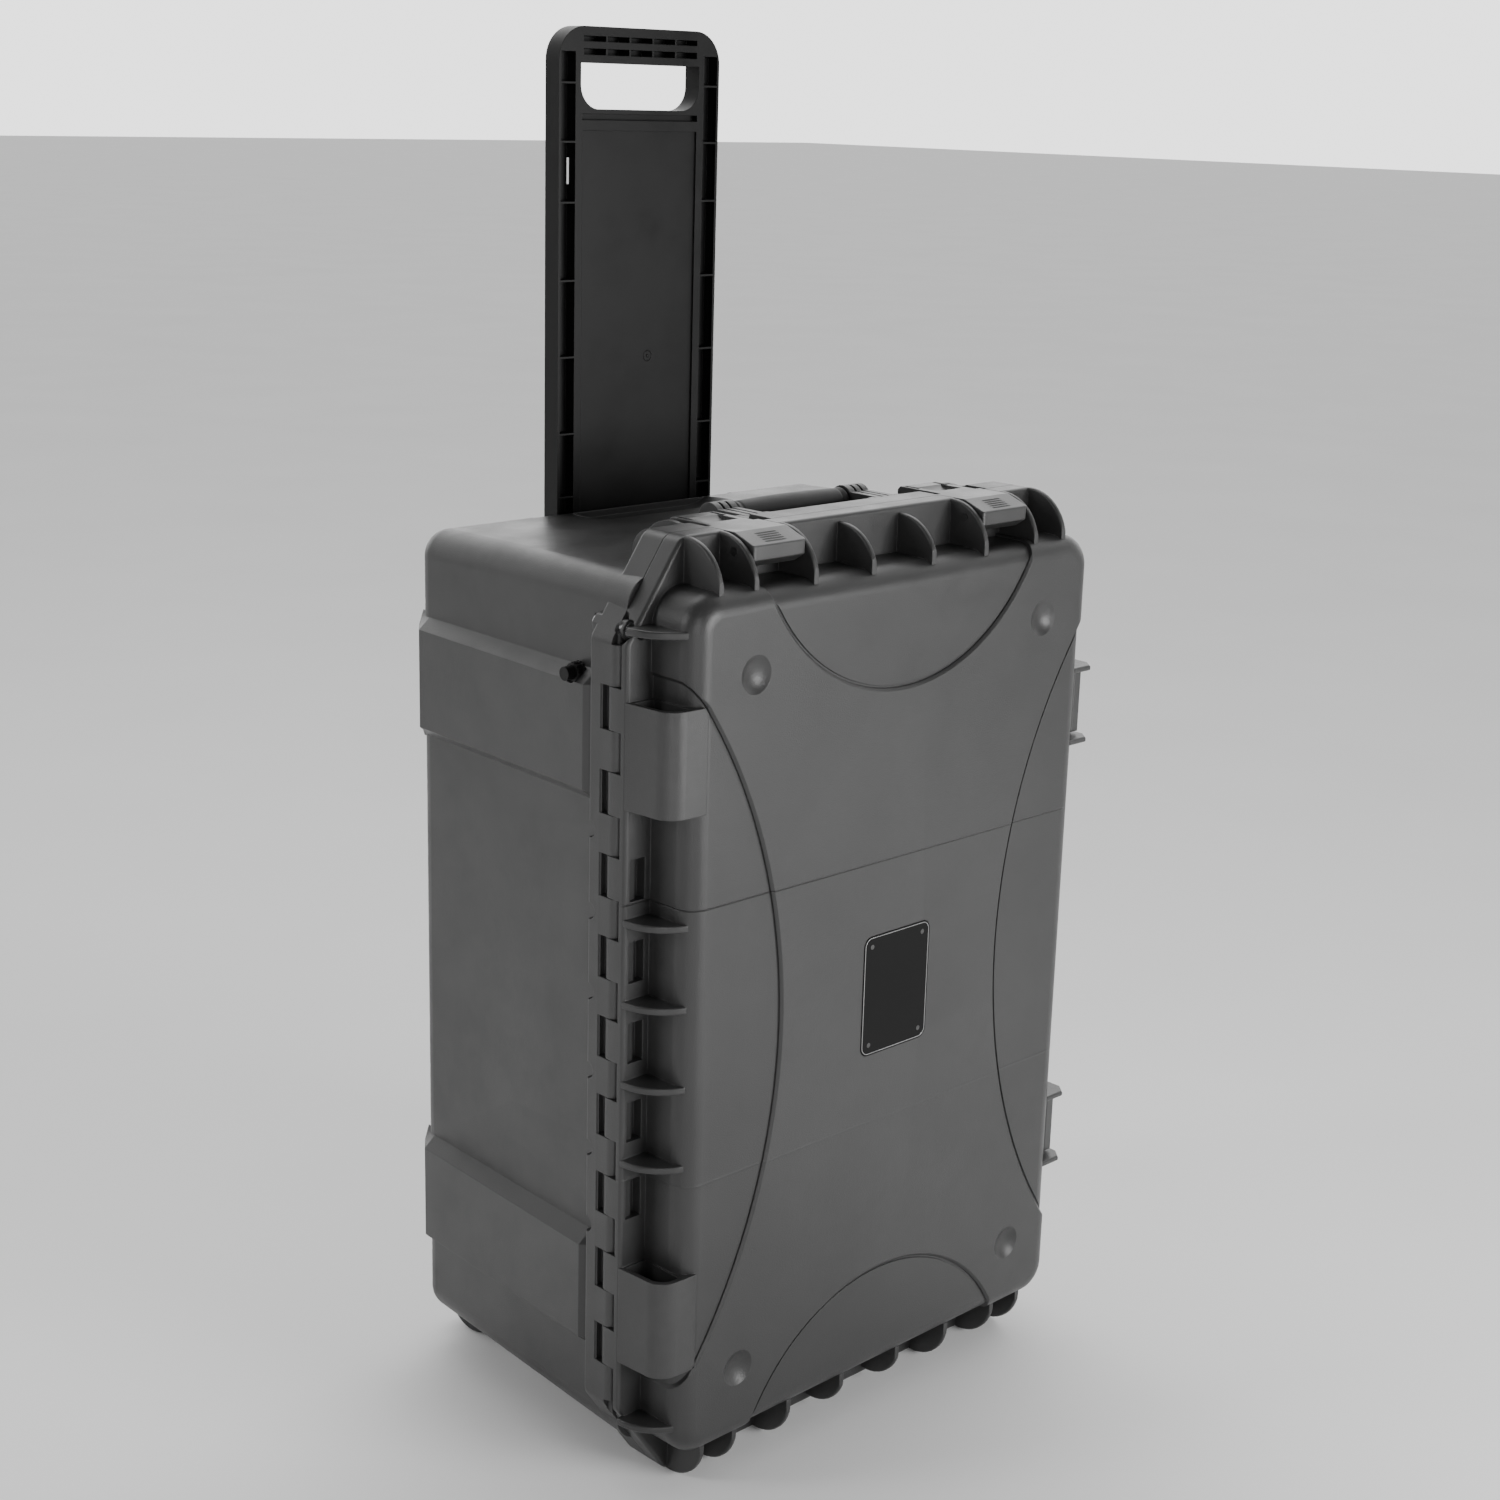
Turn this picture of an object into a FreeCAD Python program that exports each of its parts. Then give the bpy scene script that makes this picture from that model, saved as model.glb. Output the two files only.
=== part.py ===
import FreeCAD, Part
import math
import os

# Hard equipment case standing on its wheeled short end.  Millimetres.
# X runs from the hinge side (-X) to the latch side (+X).
# Y runs from the lid face (-Y) to the back of the base (+Y).  Z is up, the floor is z = 0.

V = FreeCAD.Vector
os.makedirs("parts", exist_ok=True)

# ---- overall ----
ZC = 278.5              # height of the middle of the lid
FL_W = 181.1            # flange half width
FL_H = 278.5            # flange half height
CH_Z = 225.0            # chamfer starts at this height offset on the sides
CH_X = 143.9            # chamfer ends at this width on the ends
Y_FACE = -131.7         # lid face
Y_LFL = -98.3           # front of the lid flange
Y_LID = -85.8           # parting face of the lid
Y_BASE = -85.4          # parting face of the base
Y_BFL = -67.4           # back of the base flange
Y_BACK = 116.4          # back wall of the base
WALL = 4.0

CORNER_R = 9.0          # rounding where the chamfer meets the straight rim
RIM_SOFT = 2.2          # rounding of the rim's outer edges
RIB_SOFT = 1.2

# ---- lid ----
LID_W = 163.5           # half width of the lid walls
LID_H = 252.6
LID_R = 20.0            # corner radius
FACE_R = 12.5           # rounding between face and walls
PANEL_STEP = 1.5        # height of the raised middle panel
ARC_END_Z = 302.6       # centre of the arc cut at top and bottom
ARC_END_R = 120.7
ARC_SIDE_X = 428.0      # centre of the arc cut at both sides
ARC_SIDE_R = 336.0
ARC_RAMP = 1.6          # width of the sloping step along the arcs
GROOVE_W = 1.5
GROOVE_DEPTH = 0.9
DIMPLE_X = 118.8
DIMPLE_Z = 206.2
DIMPLE_R = 11.0
DIMPLE_DEPTH = 3.8

# ---- hinge ----
HX = -176.1             # hinge axis
HY = -85.6
BARREL_R = 5.0
KNUCKLES = 9
PITCH = 47.04
KN_H = 23.8
KN_GAP = 0.4
POCKET_R = 8.6          # space the turning flange edge needs round the axis
HINGE_END = 246.0       # the lid flange keeps clear of the axis up to here
PIN_R = 2.0
PIN_RUN = 0.05          # running clearance of the pin in the lid knuckles
WINDOW_X0 = -177.2
WINDOW_X1 = -166.6

# ---- ribs ----
RIB_T = 3.5
RIB_FOOT_Y = -126.2
RIB_UPRIGHT = 9.0       # upright front edge of an end rib, 4 mm of it inside the wall
END_RIBS = [140.6, 115.0, 70.2]
SHORT_RIB = 24.8
SIDE_RIBS = [166.1, 120.0]
SHELF_T = 4.4
SHELVES = [-232.0, -70.6, -23.5, 23.5, 70.6, 232.0]
BOSS_Z0 = 134.8         # hinge side bosses, height offsets
BOSS_Z1 = 193.6
BOSS_R = 12.0           # rounding of the bosses' outer corner

# ---- latches ----
TOP_LATCH_X = 92.6
SIDE_LATCH_Z = 143.0
LATCH_HALF = 19.4       # half width of the front pad
LATCH_REAR_HALF = 15.6
PIN_Y = -109.4          # latch pin
LATCH_REAR_Y = -47.8
PLATE_T = 8.5
RECESS = 8.9            # depth of the flange notch under a latch plate
TOP_PAD_R = 9.3
NOSE = 1.3              # how far the pad's nose stands out in front of its round part
NOSE_DROP = 0.6         # fall of the nose's top, as a part of the pad's radius
NOSE_SOFT = 1.2
SLOPE_BACK = 5.0        # the slope starts this far behind the pin
PLATE_SLOT_X = 12.6
PLATE_SLOT_Y0 = -62.5
PLATE_SLOT_Y1 = -51.0
SIDE_PAD_R = 7.6
LATCH_PIN_R = 2.4
LATCH_RUN = 0.06
LATCH_PIN_REACH = 24.4  # half length of a latch pin
SWING_LEFT = 6.6        # extra width of the base notches beside the top latches
SWING_RIGHT = 2.6

# ---- base ----
B_W0 = 170.3            # half width at the flange
B_W1 = 160.2            # half width at the back
B_H0 = 257.5
B_H1 = 253.0
B_R = 16.0
MOUTH = 9.0             # wall thickness at the rim, where the seal presses
BACK_R = 13.0
BAND_X0 = 178.4         # side bands, at the flange and at the back
BAND_X1 = 167.9
BAND_Z0 = 136.3
BAND_Z1 = 195.5
BAND_SLOPE = 9.0        # height of a band's sloping ledges
BAND_LEAD = 9.0         # length of the 45 degree gusset at a band's front end
GUSSET_X = 113.7        # gussets and corner blocks behind the rim's ends
GUSSET_DEPTH = 36.0
BLOCK_X = 140.6
BLOCK_DEPTH = 13.0
SCOOP_R = 5.0           # scoops in the wall beside the hinge
SCOOP_DEPTH = 2.6

# ---- pull handle ----
PH_W = 63.6
PH_Y0 = 104.4
PH_Y1 = 117.0
PH_TOP = 818.7
PH_BOTTOM = 378.7
PH_R = 19.6
HOLE_W = 46.9
HOLE_Z0 = 771.6
HOLE_Z1 = 798.0
HOLE_R = 14.0
GROOVE_Z0 = 765.4
GROOVE_Z1 = 769.0
CH_IN = 51.0            # side channels of the panel
CH_OUT = 61.9
CH_DEPTH = 8.0
CROSS_RIBS = [786.5, 752.8, 717.8, 672.1, 626.6, 580.3, 541.6, 495.8, 450.0, 404.2]
BAY_W = 82.3
BAY_Y = 103.6
BAY_Z0 = 98.0
HUMP_Y = 66.0           # the dish housing starts here
HUMP_DROP = 6.5
RAIL_IN = 64.1
RAIL_LIP_Y = 117.5
RAIL_T = 2.2
RAIL_SCREWS = [125.0, 320.0, 505.0]
RAIL_SCREW_X = 73.2
SCREW_R = 1.6
SCREW_HEAD_R = 3.9
SCREW_SINK = 2.6        # depth of the seat in the rail
SCREW_SEAT_R = 4.2
SCREW_HEAD_T = 2.2
CROSS_HALF = 0.5        # half width and half length of the cross in a screw head
CROSS_REACH = 2.2
GRIP_SLOT_Z = [(802.5, 806.1), (810.1, 813.2)]
GRIP_SLOT_PITCH = 18.2
GRIP_SLOT_W = 17.0
GRIP_CELLS = 5
PANEL_W = 45.5          # recessed middle panel
PANEL_DEPTH = 1.5
GRIP_SKIN = 2.5         # material left behind the slots of the grip
GROOVE_IN = 4.5         # depth of the groove under the hand opening
CELL_RIB = 0.6          # half thickness of the cross ribs in the channels
SLOT_X0 = -51.0         # slot through the left channel's inner wall
SLOT_X1 = -45.6
SLOT_Y0 = 110.4         # the slot starts inside the channel, behind the front wall
SLOT_Z0 = 728.2
SLOT_Z1 = 743.6

# ---- finger dish in the top of the base ----
DISH_R = 40.0
DISH_Y = 89.0
DISH_X0 = -36.0
DISH_X1 = 40.0
DISH_DEPTH = 6.0

# ---- carry handles ----
EAR_IN = 41.5           # clevis ears of the top handle
EAR_OUT = 66.6
EAR_T = 3.9
CARRY_PIN_Y = -57.6
CARRY_PIN_R = 2.2
CARRY_RUN = 0.06
CARRY_PIN_IN = 41.8
CARRY_PIN_OUT = 66.4
CARRY_TOP_Z = ZC + 268.0
CARRY_SIDE_X = 175.2
GRIP_Y = -30.6
GRIP_CORE = 3.0         # thickness of the sleeve round the bar
ARM_GAP = 0.6           # between an arm and its clevis ears
ARM_GROOVE = 0.9        # half width of the grooves along an arm
ARM_GROOVE_DEPTH = 1.4
SLEEVE_GAP = 0.2        # at each end of the sleeve
SLEEVE_INSET = 0.3      # the sleeve is this much thinner than the ends
TOP_EAR_R = 8.0
SIDE_EAR_R = 5.6
TOP_ARM_R = 6.5
TOP_ARM_H = CARRY_TOP_Z + 8.2
TOP_GRIP_H = CARRY_TOP_Z + 2.4
TOP_GRIP_R = 9.0
SIDE_ARM_R = 5.0
SIDE_ARM_H = CARRY_SIDE_X + 5.6
SIDE_GRIP_H = CARRY_SIDE_X + 0.2
SIDE_GRIP_R = 5.6

# ---- seal ----
SEAL_W = 4.0            # width of the seal groove
SEAL_DEPTH = 3.5
SEAL_HW = 162.4         # half sizes of the middle of the seal
SEAL_HH = 251.5
SEAL_R_OUT = 16.0
SEAL_R_IN = 12.0

# ---- wheels ----
WH_R = 25.0
WH_Y = 106.6
WH_Z = 25.0
WH_X0 = 107.5
WH_X1 = 132.5
AXLE_R = 4.0
WELL_R = 29.0
WELL_GAP = 3.0          # between a wheel and the sides of its well
HUB_R = 17.5
HUB_INSET = 0.6         # the hub is this much narrower than the tyre on each side
HUB_RIM_R = 14.5        # recess in the outer face of the hub
HUB_CENTRE_R = 7.5
TYRE_SOFT = 4.0
AXLE_RUN = 0.08
AXLE_BLIND = 5.5        # the axle reaches this far past the tyre into its bracket
AXLE_HEAD_R = 7.0
AXLE_HEAD_T = 1.6
BRACKET_R = 12.0

# ---- small parts ----
LOCK_X = -171.0         # padlock hole in the hinge side corner
LOCK_Z = 230.0
LOCK_R = 3.2
LOCK_BUSH = 1.0         # wall of the steel bush
LOCK_BOSS = 5.9
LOCK_Y = -89.5          # front of the boss
LOCK_SWEEP = 12.1       # the lid keeps this far from the hinge axis beside the boss
VALVE_Y = -46.2
VALVE_Z = 199.6
VALVE_WALL_X = -169.2   # outside of the base wall at the valve
VALVE_STEM_R = 3.0
VALVE_BODY_R = 5.2
VALVE_SEAT_R = 5.6
VALVE_CAP_R = 3.9
VALVE_BODY_L = 6.0
LABEL_X0 = -25.9
LABEL_X1 = 29.8
LABEL_Z0 = -38.7
LABEL_Z1 = 35.5
LABEL_R = 6.0
LABEL_SINK = 1.0        # depth of the label's recess
RIVET_R = 1.5
RIVET_INSET = 6.5


def box(x0, x1, y0, y1, z0, z1):
    return Part.makeBox(x1 - x0, y1 - y0, z1 - z0, V(x0, y0, z0))


def cyl(r, a, b):
    d = b.sub(a)
    return Part.makeCylinder(r, d.Length, a, d)


def fuse(shapes):
    s = shapes[0]
    if len(shapes) > 1:
        s = s.fuse(shapes[1:])
    return s.removeSplitter()


def join(s, adds):
    # One at a time, which is slower but sure.
    for a in adds:
        s = s.fuse([a])
    return s


def mirror_z(s):
    return s.mirror(V(0, 0, ZC), V(0, 0, 1))


def prism(points, direction):
    # Closed outline swept along a vector.
    wire = Part.makePolygon(points + [points[0]])
    return Part.Face(wire).extrude(direction)


def rounded_wire(w, h, r, y):
    # Rounded rectangle in the plane Y = y, centred on x = 0, z = ZC.
    k = r * (1 - math.sqrt(0.5))
    edges = []
    corners = [(1, 1), (-1, 1), (-1, -1), (1, -1)]
    ends = []
    for sx, sz in corners:
        a = V(sx * w, y, ZC + sz * (h - r))
        m = V(sx * (w - k), y, ZC + sz * (h - k))
        b = V(sx * (w - r), y, ZC + sz * h)
        if sx * sz < 0:
            a, b = b, a
        ends.append((a, m, b))
    for i in range(4):
        a, m, b = ends[i]
        edges.append(Part.Arc(a, m, b).toShape())
        edges.append(Part.makeLine(b, ends[(i + 1) % 4][0]))
    return Part.Wire(edges)


def rounded_loft(w0, h0, r0, y0, w1, h1, r1, y1):
    return Part.makeLoft([rounded_wire(w0, h0, r0, y0), rounded_wire(w1, h1, r1, y1)], True, True)


def fillet_face_edges(s, y, r):
    # Rounds every edge lying in the plane Y = y.
    picked = []
    for e in s.Edges:
        bb = e.BoundBox
        if abs(bb.YMin - y) < 0.01 and abs(bb.YMax - y) < 0.01:
            picked.append(e)
    return s.makeFillet(r, picked)


def octagon(y0, y1, soft_y):
    # Rim plate with cut corners.  soft_y is the face whose outer edge is well rounded.
    pts = [(FL_W, CH_Z), (CH_X, FL_H), (-CH_X, FL_H), (-FL_W, CH_Z)]
    pts = pts + [(-x, -z) for x, z in pts]
    plate = prism([V(x, y0, ZC + z) for x, z in pts], V(0, y1 - y0, 0))
    corners = [e for e in plate.Edges if e.BoundBox.YLength > 1]
    plate = plate.makeFillet(CORNER_R, corners)
    return fillet_face_edges(plate, soft_y, RIM_SOFT)


def arc_edges(s):
    return [e for e in s.Edges if e.Curve.TypeId == "Part::GeomCircle"]


def end_rib(x, foot_h, top_h, front_y, back_y, t):
    # Gusset standing on the end wall in the plane X = x: upright foot, then a curve up to the rim.
    x0 = x - t / 2
    bend = foot_h + RIB_UPRIGHT
    ry = back_y - front_y
    rz = top_h - bend
    a = V(x0, front_y, ZC + foot_h)
    a2 = V(x0, front_y, ZC + bend)
    m = V(x0, back_y - 0.70 * ry, ZC + bend + 0.66 * rz)
    b = V(x0, back_y, ZC + top_h)
    c = V(x0, back_y, ZC + foot_h)
    edges = [Part.makeLine(a, a2), Part.Arc(a2, m, b).toShape(), Part.makeLine(b, c), Part.makeLine(c, a)]
    rib = Part.Face(Part.Wire(edges)).extrude(V(t, 0, 0))
    return rib.makeFillet(RIB_SOFT, arc_edges(rib))


def knuckle_heights():
    return [ZC + (i - (KNUCKLES - 1) / 2.0) * PITCH for i in range(KNUCKLES)]


def base_finger_spans():
    mids = knuckle_heights()
    half = KN_H / 2 + KN_GAP
    spans = []
    for i in range(KNUCKLES - 1):
        spans.append((mids[i] + half, mids[i + 1] - half))
    length = spans[0][1] - spans[0][0]
    spans.append((mids[0] - half - length, mids[0] - half))
    spans.append((mids[-1] + half, mids[-1] + half + length))
    return spans


def lid_finger_spans():
    return [(z - KN_H / 2, z + KN_H / 2) for z in knuckle_heights()]


def hinge_pocket(z0, z1, side):
    # Space cleared round the hinge axis.  side is -1 for the lid, +1 for the base.
    ring = Part.makeCylinder(POCKET_R, z1 - z0, V(HX, HY, z0), V(0, 0, 1))
    inner = box(HX, HX + POCKET_R + 1, HY - POCKET_R - 1, HY + POCKET_R + 1, z0, z1)
    ring = ring.cut(inner)
    barrel = Part.makeCylinder(BARREL_R + 0.4, z1 - z0, V(HX, HY, z0), V(0, 0, 1))
    y0, y1 = (HY, HY + POCKET_R) if side > 0 else (HY - POCKET_R, HY)
    edge = box(-FL_W - 2, HX - BARREL_R + 0.6, y0, y1, z0, z1)
    return ring.fuse([barrel, edge])


def add_fingers(body, spans, pocket_spans, side, bore):
    pockets = [hinge_pocket(z0 - KN_GAP, z1 + KN_GAP, side) for z0, z1 in pocket_spans]
    body = body.cut(pockets)
    adds = []
    for z0, z1 in spans:
        adds.append(Part.makeCylinder(BARREL_R, z1 - z0, V(HX, HY, z0), V(0, 0, 1)))
        y0, y1 = (HY, HY + POCKET_R + 1) if side > 0 else (HY - POCKET_R - 1, HY)
        adds.append(box(-FL_W, HX + BARREL_R, y0, y1, z0, z1))
    body = join(body, adds)
    hole = cyl(bore, V(HX, HY, 0), V(HX, HY, 2 * ZC))
    return body.cut([hole])


def latch_notches(y0, y1, base):
    # Notches in the flange that the latch plates lie in.
    half = LATCH_HALF + 0.6
    swing_left = SWING_LEFT if base else 0.0
    swing_right = SWING_RIGHT if base else 0.0
    tools = []
    tools.append(box(-TOP_LATCH_X - half, -TOP_LATCH_X + half + swing_left, y0, y1,
                     ZC + FL_H - RECESS, ZC + FL_H + 1))
    tools.append(box(TOP_LATCH_X - half, TOP_LATCH_X + half + swing_right, y0, y1,
                     ZC + FL_H - RECESS, ZC + FL_H + 1))
    for s in (-1, 1):
        z = ZC + s * SIDE_LATCH_Z
        tools.append(box(FL_W - RECESS, FL_W + 1, y0, y1, z - half, z + half))
    return tools


def arc_tools():
    # Part the raised panel of the lid from the lower edge areas, with a sloping step at the face.
    tools = []
    for s in (-1, 1):
        for r, x, z in ((ARC_END_R, 0, ZC + s * ARC_END_Z), (ARC_SIDE_R, s * ARC_SIDE_X, ZC)):
            tools.append(cyl(r, V(x, Y_FACE - 2, z), V(x, Y_LID, z)))
            tools.append(Part.makeCone(r + ARC_RAMP, r, PANEL_STEP, V(x, Y_FACE, z), V(0, 1, 0)))
    return tools


def arc_grooves():
    # Narrow groove at the foot of the step along each arc.
    rings = []
    for s in (-1, 1):
        for r, x, z in ((ARC_END_R, 0, ZC + s * ARC_END_Z), (ARC_SIDE_R, s * ARC_SIDE_X, ZC)):
            y0 = V(x, Y_FACE - 1, z)
            y1 = V(x, Y_FACE + PANEL_STEP + GROOVE_DEPTH, z)
            rings.append(cyl(r, y0, y1).cut([cyl(r - GROOVE_W, y0, y1)]))
    return rings


def make_lid():
    outer = rounded_loft(LID_W, LID_H, LID_R, Y_FACE, LID_W + 1, LID_H + 1, LID_R + 1, Y_LID)
    outer = fillet_face_edges(outer, Y_FACE, FACE_R)
    low = rounded_loft(LID_W - PANEL_STEP, LID_H - PANEL_STEP, LID_R - 1, Y_FACE + PANEL_STEP,
                       LID_W + 1 - PANEL_STEP, LID_H + 1 - PANEL_STEP, LID_R, Y_LID)
    low = fillet_face_edges(low, Y_FACE + PANEL_STEP, FACE_R)
    raised = outer.cut(arc_tools())
    body = join(raised, [low, octagon(Y_LFL, Y_LID, Y_LFL)])
    adds = []
    for x in END_RIBS:
        for s in (-1, 1):
            adds.append(end_rib(s * x, LID_H - 4, FL_H, RIB_FOOT_Y, Y_LFL + 1, RIB_T))
    for s in (-1, 1):
        adds.append(end_rib(s * SHORT_RIB, LID_H - 4, FL_H - 4, RIB_FOOT_Y, Y_LFL + 1, RIB_T))
    adds = adds + [mirror_z(a) for a in adds]
    # Square ribs beside the side latches.
    for h in SIDE_RIBS:
        for s in (-1, 1):
            z = ZC + s * h
            pts = [(LID_W - 4, RIB_FOOT_Y), (FL_W - 6, RIB_FOOT_Y), (FL_W, RIB_FOOT_Y + 7),
                   (FL_W, Y_LFL + 1), (LID_W - 4, Y_LFL + 1)]
            rib = prism([V(x, y, z - RIB_T / 2) for x, y in pts], V(0, 0, RIB_T))
            outer_edges = [e for e in rib.Edges if e.BoundBox.ZLength < 0.01 and e.BoundBox.XMax > LID_W]
            outer_edges = [e for e in outer_edges if e.BoundBox.YMin < Y_LFL]
            adds.append(rib.makeFillet(RIB_SOFT, outer_edges))
    # Small shelves on the hinge side.
    for h in SHELVES:
        z = ZC + h
        a = V(-LID_W + 4, -126, z - SHELF_T / 2)
        m = V(-172.4, -118.4, z - SHELF_T / 2)
        b = V(-FL_W, Y_LFL + 1, z - SHELF_T / 2)
        c = V(-LID_W + 4, Y_LFL + 1, z - SHELF_T / 2)
        edges = [Part.Arc(a, m, b).toShape(), Part.makeLine(b, c), Part.makeLine(c, a)]
        shelf = Part.Face(Part.Wire(edges)).extrude(V(0, 0, SHELF_T))
        adds.append(shelf.makeFillet(RIB_SOFT, arc_edges(shelf)))
    # Hollow bosses on the hinge side.
    for s in (-1, 1):
        z0 = ZC + (BOSS_Z0 if s > 0 else -BOSS_Z1)
        adds.append(boss_solid(0.0, z0, BOSS_Z1 - BOSS_Z0))
    body = join(body, adds)
    cuts = []
    for s in (-1, 1):
        z0 = ZC + (BOSS_Z0 if s > 0 else -BOSS_Z1)
        cuts.append(boss_hollow(z0 - 1, z0 + BOSS_Z1 - BOSS_Z0 + 1))
    # Inside of the lid.
    in_w = LID_W - PANEL_STEP - WALL
    in_h = LID_H - PANEL_STEP - WALL
    cuts.append(rounded_loft(in_w, in_h, LID_R - 5, Y_FACE + WALL + PANEL_STEP,
                             in_w + 1, in_h + 1, LID_R - 4, Y_LID + 1))
    # Round dimples near the corners of the raised panel.
    ball = (DIMPLE_R ** 2 + DIMPLE_DEPTH ** 2) / (2 * DIMPLE_DEPTH)
    for sx in (-1, 1):
        for sz in (-1, 1):
            c = V(sx * DIMPLE_X, Y_FACE + DIMPLE_DEPTH - ball, ZC + sz * DIMPLE_Z)
            cuts.append(Part.makeSphere(ball, c))
    cuts = cuts + arc_grooves()
    # Recess for the label plate.
    cuts.append(label_block(Y_FACE - 1, Y_FACE + LABEL_SINK, 0.15))
    # Windows through the flange in front of the middle knuckles.
    for z in knuckle_heights()[2:7]:
        cuts.append(box(WINDOW_X0, WINDOW_X1, Y_LFL - 1, HY - BARREL_R - 1.2, z - KN_H / 2, z + KN_H / 2))
    cuts = cuts + latch_notches(Y_LFL - 1, Y_LID + 1, False)
    # Pin holes through the latch ribs.
    zt = ZC + FL_H - TOP_PAD_R
    cuts.append(cyl(LATCH_PIN_R, V(-120, PIN_Y, zt), V(-66, PIN_Y, zt)))
    cuts.append(cyl(LATCH_PIN_R, V(66, PIN_Y, zt), V(120, PIN_Y, zt)))
    xs = FL_W - SIDE_PAD_R
    for s in (-1, 1):
        z = ZC + s * SIDE_LATCH_Z
        cuts.append(cyl(LATCH_PIN_R, V(xs, PIN_Y, z - 27), V(xs, PIN_Y, z + 27)))
    # The lid flange gives way to the padlock boss of the base.
    cuts.append(lock_sweep())
    cuts.append(cyl(LOCK_R + 0.4, V(LOCK_X, Y_LFL - 1, ZC + LOCK_Z), V(LOCK_X, Y_LID + 1, ZC + LOCK_Z)))
    # Groove for the seal.
    cuts.append(seal_ring(0.1, Y_LID - SEAL_DEPTH, Y_LID + 1))
    body = body.cut(cuts)
    spans = base_finger_spans()
    spans[-2] = (ZC - HINGE_END, spans[-2][1])
    spans[-1] = (spans[-1][0], ZC + HINGE_END)
    body = add_fingers(body, lid_finger_spans(), spans, -1, PIN_R + PIN_RUN)
    return body.removeSplitter()


def lock_sweep():
    # Barrel-shaped space that the padlock boss needs while the lid turns.
    mid = ZC + LOCK_Z
    h = LOCK_BOSS + 0.5
    a = V(HX, HY, mid - h)
    b = V(HX + POCKET_R, HY, mid - h)
    m = V(HX + LOCK_SWEEP, HY, mid)
    c = V(HX + POCKET_R, HY, mid + h)
    d = V(HX, HY, mid + h)
    edges = [Part.makeLine(a, b), Part.Arc(b, m, c).toShape(), Part.makeLine(c, d), Part.makeLine(d, a)]
    return Part.Face(Part.Wire(edges)).revolve(V(HX, HY, 0), V(0, 0, 1), 360)


def boss_outline(inset, z):
    # Outline of a hinge side boss in a plane of constant height.
    a = V(-FL_W + inset, Y_LFL + 1, z)
    b = V(-FL_W + 1.6 + inset, Y_FACE + BOSS_R + 1.0, z)
    m = V(-FL_W + 1.6 + 0.3 * BOSS_R + inset * 0.7, Y_FACE + 0.31 * BOSS_R + 0.6 + inset * 0.7, z)
    c = V(-FL_W + 1.6 + BOSS_R, Y_FACE + 0.6 + inset, z)
    d = V(-153.0, Y_FACE + 0.1 + inset, z)
    e = V(-153.0, Y_LFL + 1, z)
    edges = [Part.makeLine(a, b), Part.Arc(b, m, c).toShape(), Part.makeLine(c, d), Part.makeLine(d, e)]
    edges.append(Part.makeLine(e, a))
    return Part.Face(Part.Wire(edges))


def boss_solid(inset, z0, length):
    return boss_outline(inset, z0).extrude(V(0, 0, length))


def boss_hollow(z0, z1):
    h = boss_solid(3.2, z0, z1 - z0)
    keep = box(-LID_W + 0.2, 0, Y_FACE - 5, Y_LID, z0 - 1, z1 + 1)
    front = box(-FL_W - 5, 0, Y_LFL - 1.5, Y_LID, z0 - 1, z1 + 1)
    return h.cut([keep, front])


def seal_ring(grow, y0, y1):
    hw = SEAL_W / 2 + grow
    outer = Part.Face(rounded_wire(SEAL_HW + hw, SEAL_HH + hw, SEAL_R_OUT, y0)).extrude(V(0, y1 - y0, 0))
    inner = Part.Face(rounded_wire(SEAL_HW - hw, SEAL_HH - hw, SEAL_R_IN, y0)).extrude(V(0, y1 - y0, 0))
    return outer.cut(inner)


def label_block(y0, y1, grow):
    x0 = LABEL_X0 - grow
    x1 = LABEL_X1 + grow
    s = box(x0, x1, y0, y1, ZC + LABEL_Z0 - grow, ZC + LABEL_Z1 + grow)
    picked = []
    for e in s.Edges:
        bb = e.BoundBox
        if bb.YLength > 0.5 and bb.XLength < 0.01 and bb.ZLength < 0.01:
            picked.append(e)
    return s.makeFillet(LABEL_R, picked)


def band(s_x, s_z):
    # Raised band on a side wall of the base, tapering with the wall.
    # On the latch side it starts behind the latches.
    y_start = Y_BFL if s_x < 0 else LATCH_REAR_Y + 4.0

    def section(y, x):
        t = (y - Y_BFL) / (Y_BACK - Y_BFL)
        w = B_W0 + (B_W1 - B_W0) * t
        z0 = ZC + s_z * BAND_Z0
        z1 = ZC + s_z * BAND_Z1
        k = s_z * BAND_SLOPE
        root = s_x * (w - 3)
        pts = [V(root, y, z0 - k), V(s_x * x, y, z0), V(s_x * x, y, z1), V(root, y, z1 + k)]
        return Part.makePolygon(pts + [pts[0]])
    y_mid = Y_BACK - BACK_R
    taper = (BAND_X0 - BAND_X1) / (Y_BACK - Y_BFL)
    front = section(y_start + BAND_LEAD, BAND_X0 - taper * (y_start + BAND_LEAD - Y_BFL))
    start = section(y_start, BAND_X0 - 8.0)
    mid = section(y_mid, BAND_X0 - taper * (y_mid - Y_BFL))
    end = section(Y_BACK - 2, BAND_X1 - 7.5)
    return Part.makeLoft([start, front, mid, end], True, True)


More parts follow.
